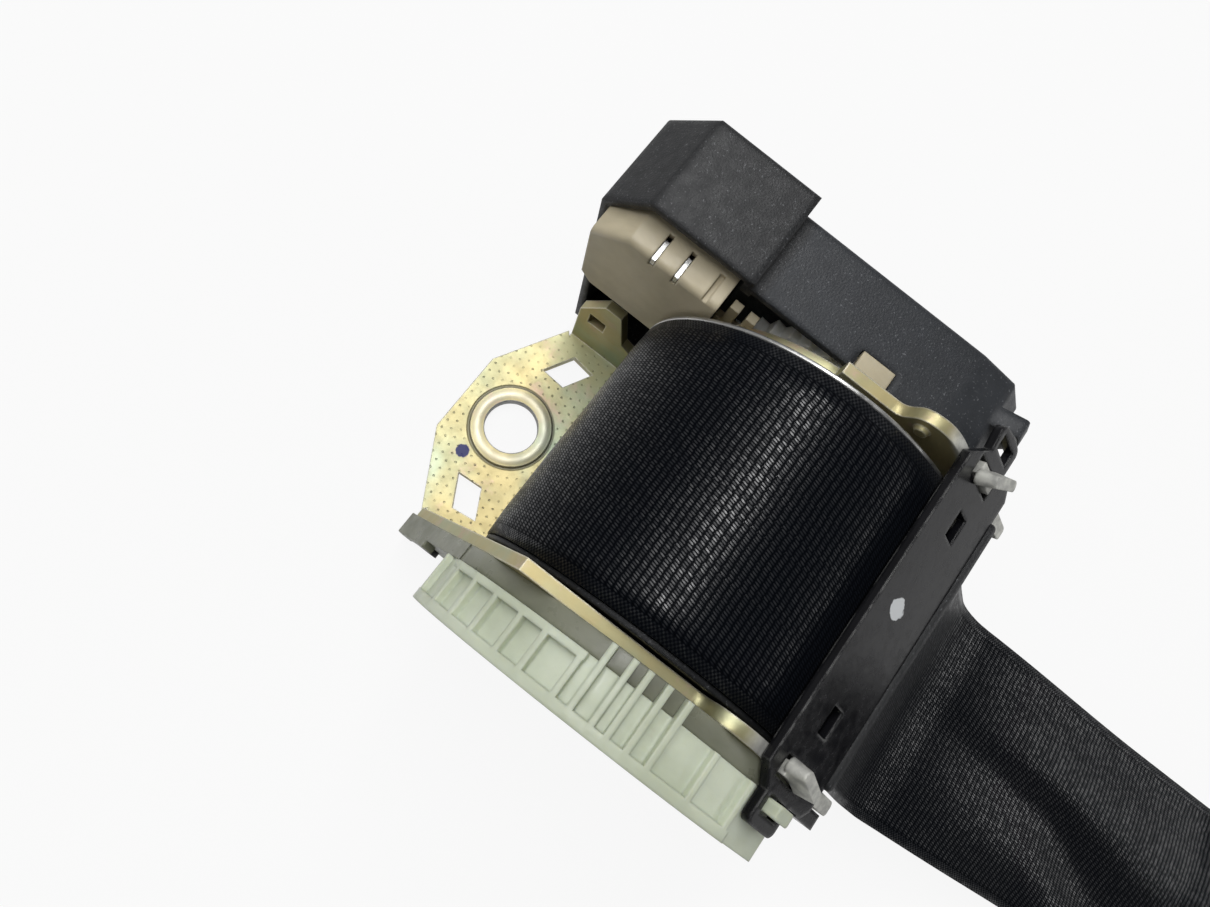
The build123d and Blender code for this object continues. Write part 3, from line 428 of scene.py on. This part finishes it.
def steel_look(name, colour, rough, grain=(1.0, 0.1, 1.0)):
    """Bare or cast metal with a fine grain and faint stains."""
    look = Look(name, Metallic=0.95)
    tone = look.mix(look.patches(220.0, 5.0, (0.3, 0.7)), tuple(c * 0.8 for c in colour), colour)
    stain = look.times(look.patches(90.0, 5.0, (0.58, 0.75), roughness=0.7), 0.35)
    tone = look.mix(stain, tone, (0.3, 0.24, 0.18))
    gloss = look.patches(700.0, 4.0, (0.3, 0.7), (rough - 0.08, rough + 0.1))
    look.set(Base_Color=tone, Roughness=gloss)
    look.bump(look.noise(2400.0, 3.0, stretch=grain), 0.2, 0.0001)
    return look.mat


def thread_look():
    """Bonded sewing thread with its twist."""
    look = Look("sewing_thread", Roughness=0.5, Specular_IOR_Level=0.3)
    twist = look.math("SINE", look.times(look.noise(5200.0, 1.0), 9.0))
    look.set(Base_Color=look.mix(look.ramp(twist, -1.0, 1.0), (0.012, 0.013, 0.015), (0.035, 0.036, 0.040)))
    look.bump(twist, 0.4, 0.00006)
    return look.mat


looks = {
    "black_webbing": webbing_look(),
    "chromated_steel": chromate_look(),
    "black_ecoat": ecoat_look(),
    "ivory_nylon": moulded_look("ivory_nylon", (0.54, 0.475, 0.335), (0.41, 0.36, 0.25), 0.42, 0.12),
    "natural_nylon": moulded_look("natural_nylon", (0.58, 0.625, 0.50), (0.48, 0.52, 0.40), 0.36, 0.35),
    "black_plastic": black_plastic_look("black_plastic"),
    "white_acetal": moulded_look("white_acetal", (0.78, 0.78, 0.74), (0.70, 0.70, 0.66), 0.35, 0.2),
    "bare_steel": steel_look("bare_steel", (0.58, 0.58, 0.57), 0.32),
    "die_cast_zinc": steel_look("die_cast_zinc", (0.46, 0.46, 0.47), 0.5, (1.0, 1.0, 1.0)),
    "spring_steel": steel_look("spring_steel", (0.22, 0.25, 0.31), 0.3, (0.1, 1.0, 1.0)),
}
own_looks = {
    # The cover's long top gets a painted sheen
    "mechanism_cover": black_plastic_look("cover_plastic", long_top_sheen=True),
    "spring_base": moulded_look("base_nylon", (0.21, 0.215, 0.16), (0.145, 0.15, 0.11), 0.34, 0.2),
}

# Width of the broken edges in millimetres: of most pieces, and of the larger ones by name
SMALL_BREAK = 0.15
broken_edge = {
    "frame_bracket": 0.30,
    "tie_bar": 0.55,
    "mechanism_cover": 0.35,
    "sensor_housing": 0.35,
    "spring_cover": 0.25,
}


def dress_cad_nodes():
    """Gives every CAD node its procedural material, welded normals and broken edges."""
    slots = {part["node"]: part["material_slot"] for part in frame["record"]["subparts"]}
    for name, obj in nodes.items():
        obj.data.materials.clear()
        obj.data.materials.append(own_looks.get(name, looks[slots[name]]))
        weld = obj.modifiers.new("weld", "WELD")
        weld.merge_threshold = 1e-6
        bevel = obj.modifiers.new("broken_edges", "BEVEL")
        bevel.width = broken_edge.get(name, SMALL_BREAK) * MM
        bevel.segments = 2
        bevel.limit_method = "ANGLE"
        bevel.angle_limit = math.radians(32)
        bevel.harden_normals = True
        bevel.use_clamp_overlap = True


def eased(value, low, high):
    """0 below low, 1 above high, smooth between."""
    share = min(1.0, max(0.0, (value - low) / (high - low)))
    return share * share * (3 - 2 * share)


def flat_section(centre_x, columns):
    """Cross-section of flat webbing: X, lift and lean of each column."""
    low = centre_x - WEB_WIDTH / 2
    return [(low + WEB_WIDTH * j / columns, 0.0, 0.0) for j in range(columns + 1)]


def strap_edge(u):
    """X of the lock-side edge of the free strap, which drifts outwards on its way down."""
    out = -u
    first_drift, slope_start, slope_run = 1.8, 55.0, 82.0
    edge = WEB_X + WEB_WIDTH / 2
    edge += first_drift * eased(out, 22.0, 56.0)
    return edge + STRAP_SLOPE * min(slope_run, max(0.0, out - slope_start))


def buckled_section(u, columns):
    """Cross-section of the free run: it hangs a little high and buckles in a slanting wave."""
    out = -u
    strength = eased(out, 35.0, 115.0) * (1.0 - eased(out, 136.0, 165.0))
    # Crests and valleys by their distance from the lock-side edge, then with their heights
    crest = 14.4 + STRAP_SLOPE * (out - 50.0)
    valley = max(crest + 8.0, 23.0 + 0.43 * (out - 89.0))
    crest_2 = valley + 10.0
    foot = crest_2 + 14.0
    stops = ((0.0, 0.0), (crest, 3.2), (valley, 0.5), (crest_2, 2.4), (foot, 0.0))
    hang = 3.0
    steepest = 0.9
    x = strap_edge(u)
    lift = hang * eased(out, 40.0, 58.0) * (1.0 - eased(out, 60.0, 112.0))
    section = [(x, lift, 0.0)]
    parts = 8
    step = WEB_WIDTH / columns / parts
    for j in range(columns):
        for k in range(parts):
            travel = WEB_WIDTH * (j + (k + 0.5) / parts) / columns
            rise = 0.0
            for (start, low), (end, high) in zip(stops, stops[1:]):
                if start <= travel < end:
                    turn = math.pi * (travel - start) / (end - start)
                    rise = strength * (high - low) * math.pi / 2 * math.sin(turn) / (end - start)
            rise = max(-steepest, min(steepest, rise))
            lift += rise * step
            x -= math.sqrt(1.0 - rise * rise) * step
        section.append((x, lift, math.asin(rise)))
    return section[::-1]


def ribbon(name, body, line, section, thick, columns=32):
    """Webbing along a line of (u, v) points: a closed strip with thin selvedges and a UV map in metres."""
    count = len(line)
    across = [WEB_WIDTH * j / columns for j in range(columns + 1)]
    mesh = bmesh.new()
    uv_layer = mesh.loops.layers.uv.new("belt")
    rings = []
    stations = []
    travelled = 0.0
    for i, (u, v) in enumerate(line):
        before = line[max(i - 1, 0)]
        after = line[min(i + 1, count - 1)]
        run = math.hypot(after[0] - before[0], after[1] - before[1])
        normal_u, normal_v = (after[1] - before[1]) / run, (before[0] - after[0]) / run
        if i:
            travelled += math.hypot(u - before[0], v - before[1])
        stations.append(travelled)
        ring = ([], [])
        for (x, lift, lean), share in zip(section(i, u, columns), across):
            taper = max(0.0, 1.0 - min(share, WEB_WIDTH - share) / TAPER_WIDTH)
            half_depth = thick(i) / 2 * (1.0 - TAPER_SHARE * taper * taper)
            for side, row in zip((half_depth, -half_depth), ring):
                shift = lift + side * math.cos(lean)
                place = at(x + side * math.sin(lean), u + normal_u * shift, v + normal_v * shift)
                row.append(mesh.verts.new(place))
        rings.append(ring)

    def skin(corners, map_points):
        face = mesh.faces.new(corners)
        for loop, (along, over) in zip(face.loops, map_points):
            loop[uv_layer].uv = (along * MM, over * MM)

    for i in range(count - 1):
        near_s, far_s = stations[i], stations[i + 1]
        for side in (0, 1):
            near, far = rings[i][side], rings[i + 1][side]
            for j in range(columns):
                low, high = across[j], across[j + 1]
                points = ((near_s, low), (near_s, high), (far_s, high), (far_s, low))
                skin((near[j], near[j + 1], far[j + 1], far[j]), points)
        for j in (0, columns):
            edge = across[j]
            corners = (rings[i][0][j], rings[i + 1][0][j], rings[i + 1][1][j], rings[i][1][j])
            beyond = edge + WEB_THICK
            skin(corners, ((near_s, edge), (far_s, edge), (far_s, beyond), (near_s, beyond)))
    for i in (0, count - 1):
        upper, lower = rings[i]
        end = stations[i]
        for j in range(columns):
            low, high = across[j], across[j + 1]
            points = ((end, low), (end, low), (end, high), (end, high))
            skin((upper[j], lower[j], lower[j + 1], upper[j + 1]), points)
    bmesh.ops.recalc_face_normals(mesh, faces=mesh.faces)
    obj = new_object(name, mesh, body)
    obj.data.materials.append(looks["black_webbing"])
    return obj, travelled


def arc_points(centre, radius, start, end, step=4.0):
    """Points on an arc of the (u, v) plane, angles in degrees."""
    count = max(2, int(abs(end - start) / step))
    points = []
    for i in range(count + 1):
        angle = math.radians(start + (end - start) * i / count)
        points.append((centre[0] + radius * math.cos(angle), centre[1] + radius * math.sin(angle)))
    return points


def run_points(start, end, step=2.0):
    """Points on a straight run of the (u, v) plane, without its start."""
    length = math.hypot(end[0] - start[0], end[1] - start[1])
    count = max(1, int(length / step))
    return [
        (start[0] + (end[0] - start[0]) * i / count, start[1] + (end[1] - start[1]) * i / count)
        for i in range(1, count + 1)
    ]


def bend_points(before, corner, after, radius):
    """Points of the arc that rounds a corner of the (u, v) plane."""
    first = math.atan2(corner[1] - before[1], corner[0] - before[0])
    second = math.atan2(after[1] - corner[1], after[0] - corner[0])
    turn = (second - first + math.pi) % (2 * math.pi) - math.pi
    side = 1 if turn > 0 else -1
    back = radius * math.tan(abs(turn) / 2)
    start = (corner[0] - back * math.cos(first), corner[1] - back * math.sin(first))
    centre = (start[0] - side * radius * math.sin(first), start[1] + side * radius * math.cos(first))
    from_angle = math.degrees(first) - side * 90.0
    return arc_points(centre, radius, from_angle, from_angle + math.degrees(turn), 3.0)


def wound_webbing():
    """The roll as one spiral strip, outer end under the tie bar."""
    per_turn = 72
    line = []
    for i in range(ROLL_TURNS * per_turn, -1, -1):
        turn = i / per_turn
        angle = math.radians(ROLL_END_ANGLE - 360.0 * turn)
        radius = ROLL_R - WEB_THICK / 2 - turn * (ROLL_R - CORE_R - WEB_THICK) / ROLL_TURNS
        line.append((radius * math.cos(angle), radius * math.sin(angle)))

    def section(i, u, columns):
        return flat_section(WEB_X, columns)

    roll, _ = ribbon("wound_webbing", "spool", line, section, lambda i: WEB_THICK, columns=10)
    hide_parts("webbing_roll")


def free_webbing():
    """The free webbing: off the roll, down to the ground, folded flat, and round the end anchor's bar."""
    layer_2 = STRAP_LOW + HANK_PITCH
    layer_3 = layer_2 + HANK_PITCH
    fold_r = HANK_PITCH / 2
    loop_u = ANCHOR_U - LOOP_BACK
    loop_low = layer_3 - 2 * LOOP_R
    tail_high = layer_3 - TAIL_GAP
    tail_u = ANCHOR_U + TAIL_START
    line = arc_points((0.0, 0.0), STRAP_R, STRAP_START_ANGLE, ROLL_END_ANGLE, 2.0)
    corners = [line[-1], (BEND_U, BEND_V), (SKEW_END, STRAP_LOW), (HANK_FAR, STRAP_LOW)]
    for before, corner, after in zip(corners, corners[1:], corners[2:]):
        bend = bend_points(before, corner, after, BEND_R)
        line += run_points(line[-1], bend[0]) + bend[1:]
    line += run_points(line[-1], corners[-1])
    first_layer = len(line)
    line += arc_points((HANK_FAR, STRAP_LOW + fold_r), fold_r, 270.0, 90.0, 20.0)[1:]
    line += run_points(line[-1], (HANK_NEAR, layer_2))
    line += arc_points((HANK_NEAR, layer_2 + fold_r), fold_r, -90.0, 90.0, 20.0)[1:]
    line += run_points(line[-1], (loop_u, layer_3))
    line += arc_points((loop_u, layer_3 - LOOP_R), LOOP_R, 90.0, 270.0, 20.0)[1:]
    line += run_points(line[-1], (tail_u, loop_low))
    for k in range(1, TAIL_RAMP + 1):
        line.append((tail_u + k, loop_low + (tail_high - loop_low) * eased(k, 0.0, TAIL_RAMP)))
    line += run_points(line[-1], (ANCHOR_U + TAIL_END, tail_high))

    def section(i, u, columns):
        if i < first_layer and u > BUCKLE_END:
            return buckled_section(u, columns)
        return flat_section(FREE_X, columns)

    def depth(i):
        """Thickness, thinned where the strip comes out of the roll."""
        return WEB_THICK * min(1.0, 0.25 + 0.15 * i)

    strap, length = ribbon("free_webbing", "frame", line, section, depth)
    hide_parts("belt_strap")


def loop_stitching():
    """Rows of stitches that close the loop around the bar of the end anchor."""
    top = STRAP_LOW + 2 * HANK_PITCH + WEB_THICK / 2
    rows = 8
    row_pitch = 2.3
    first_row = ANCHOR_U + 8.0
    per_row = 15
    stitch_pitch = 2.8
    stitch_length = 2.3
    flatness = 0.8
    sides = 6
    # Place along a stitch as a share of its length, and the thread's radius there
    profile = ((-0.5, 0.10), (-0.3, 0.27), (0.0, 0.33), (0.3, 0.27), (0.5, 0.10))
    mesh = bmesh.new()
    for row in range(rows):
        u = first_row + row_pitch * row
        for k in range(per_row):
            x = FREE_X + (k - (per_row - 1) / 2) * stitch_pitch
            rings = []
            for share, girth in profile:
                ring = []
                for corner in range(sides):
                    angle = 2 * math.pi * corner / sides
                    beside = u + girth * math.cos(angle)
                    height = top + girth * math.sin(angle) * flatness
                    ring.append(mesh.verts.new(at(x + share * stitch_length, beside, height)))
                rings.append(ring)
            for near, far in zip(rings, rings[1:]):
                for corner in range(sides):
                    after = (corner + 1) % sides
                    mesh.faces.new((near[corner], near[after], far[after], far[corner]))
            mesh.faces.new(rings[0][::-1])
            mesh.faces.new(rings[-1])
    obj = new_object("loop_stitching", mesh, "frame")
    obj.data.materials.append(thread_look())


def aim(obj, place, towards, across):
    """Puts a lamp or camera at a place, looking towards a point, with its local X along a direction."""
    back = (Vector(place) - Vector(towards)).normalized()
    right = Vector(across)
    right = (right - back * right.dot(back)).normalized()
    up = back.cross(right)
    obj.matrix_world = Matrix.Translation(Vector(place)) @ Matrix((right, up, back)).transposed().to_4x4()


def ground():
    """White ground that keeps the shadows, and shows nearly white to the camera and in reflections."""
    look = Look("ground_white", Base_Color=(0.62, 0.62, 0.62, 1.0), Roughness=0.9, Specular_IOR_Level=0.1)
    path = look.node("ShaderNodeLightPath")
    glow = look.node("ShaderNodeEmission", {"Color": (1.0, 1.0, 1.0, 1.0), "Strength": 1.0})
    blend = look.node("ShaderNodeMixShader")
    mirrored = look.times(path.outputs["Is Glossy Ray"], 0.5)
    seen = look.times(look.math("MAXIMUM", path.outputs["Is Camera Ray"], mirrored), 0.90)
    look.feed(blend.inputs[0], seen)
    look.feed(blend.inputs[1], look.shader.outputs[0])
    look.feed(blend.inputs[2], glow.outputs[0])
    look.feed(look.tree.nodes["Material Output"].inputs["Surface"], blend.outputs[0])
    bpy.ops.mesh.primitive_plane_add(size=GROUND_SIZE, location=(0.0, 0.0, GROUND_Z))
    floor = bpy.context.object
    floor.name = "ground"
    floor.data.materials.append(look.mat)


def surroundings():
    """World light that falls off towards the zenith, and is white where it is seen directly."""
    world = bpy.data.worlds.new("studio")
    bpy.context.scene.world = world
    world.use_nodes = True
    tree = world.node_tree
    background = tree.nodes["Background"]
    background.inputs["Color"].default_value = (1.0, 1.0, 1.0, 1.0)
    direction = tree.nodes.new("ShaderNodeTexCoord")
    split = tree.nodes.new("ShaderNodeSeparateXYZ")
    climb = tree.nodes.new("ShaderNodeMapRange")
    tree.links.new(direction.outputs["Generated"], split.inputs[0])
    tree.links.new(split.outputs[2], climb.inputs["Value"])
    climb.inputs["To Min"].default_value = HORIZON_LIGHT
    climb.inputs["To Max"].default_value = ZENITH_LIGHT
    path = tree.nodes.new("ShaderNodeLightPath")
    choice = tree.nodes.new("ShaderNodeMix")
    choice.data_type = "FLOAT"
    tree.links.new(path.outputs["Is Camera Ray"], choice.inputs[0])
    tree.links.new(climb.outputs[0], choice.inputs[2])
    choice.inputs[3].default_value = 1.0
    tree.links.new(choice.outputs[0], background.inputs["Strength"])


def soft_lamps():
    """A long strip overhead, with weak fills beyond the retractor and low in front."""
    for name, place, size, power in LAMPS:
        lamp = bpy.data.lights.new(name, "AREA")
        lamp.shape = "RECTANGLE"
        lamp.size, lamp.size_y = size
        lamp.energy = power
        obj = bpy.data.objects.new(name, lamp)
        bpy.context.scene.collection.objects.link(obj)
        aim(obj, place, LAMP_TARGET, (1.0, 0.0, 0.0))


def photograph_camera():
    """The camera of the photograph, steeply above the retractor and turned about its own axis."""
    tilt_x = math.sin(CAMERA_TILT) * math.cos(CAMERA_SWING)
    tilt_z = math.cos(CAMERA_TILT) * math.cos(CAMERA_SWING)
    view = Vector((tilt_x, math.sin(CAMERA_SWING), -tilt_z))
    flat_x = (Vector((1.0, 0.0, 0.0)) - view * view.x).normalized()
    flat_y = view.cross(flat_x)
    camera = bpy.data.cameras.new("camera")
    camera.sensor_width = 36.0
    camera.lens = 26.0
    camera.clip_start = 0.01
    rig = bpy.data.objects.new("camera", camera)
    bpy.context.scene.collection.objects.link(rig)
    place = Vector(CAMERA_PLACE) * MM
    aim(rig, place, place + view, flat_x * math.cos(CAMERA_ROLL) + flat_y * math.sin(CAMERA_ROLL))
    bpy.context.scene.camera = rig


dress_cad_nodes()
wound_webbing()
free_webbing()
loop_stitching()
ground()
surroundings()
soft_lamps()
photograph_camera()
bpy.context.scene.view_settings.view_transform = "Standard"
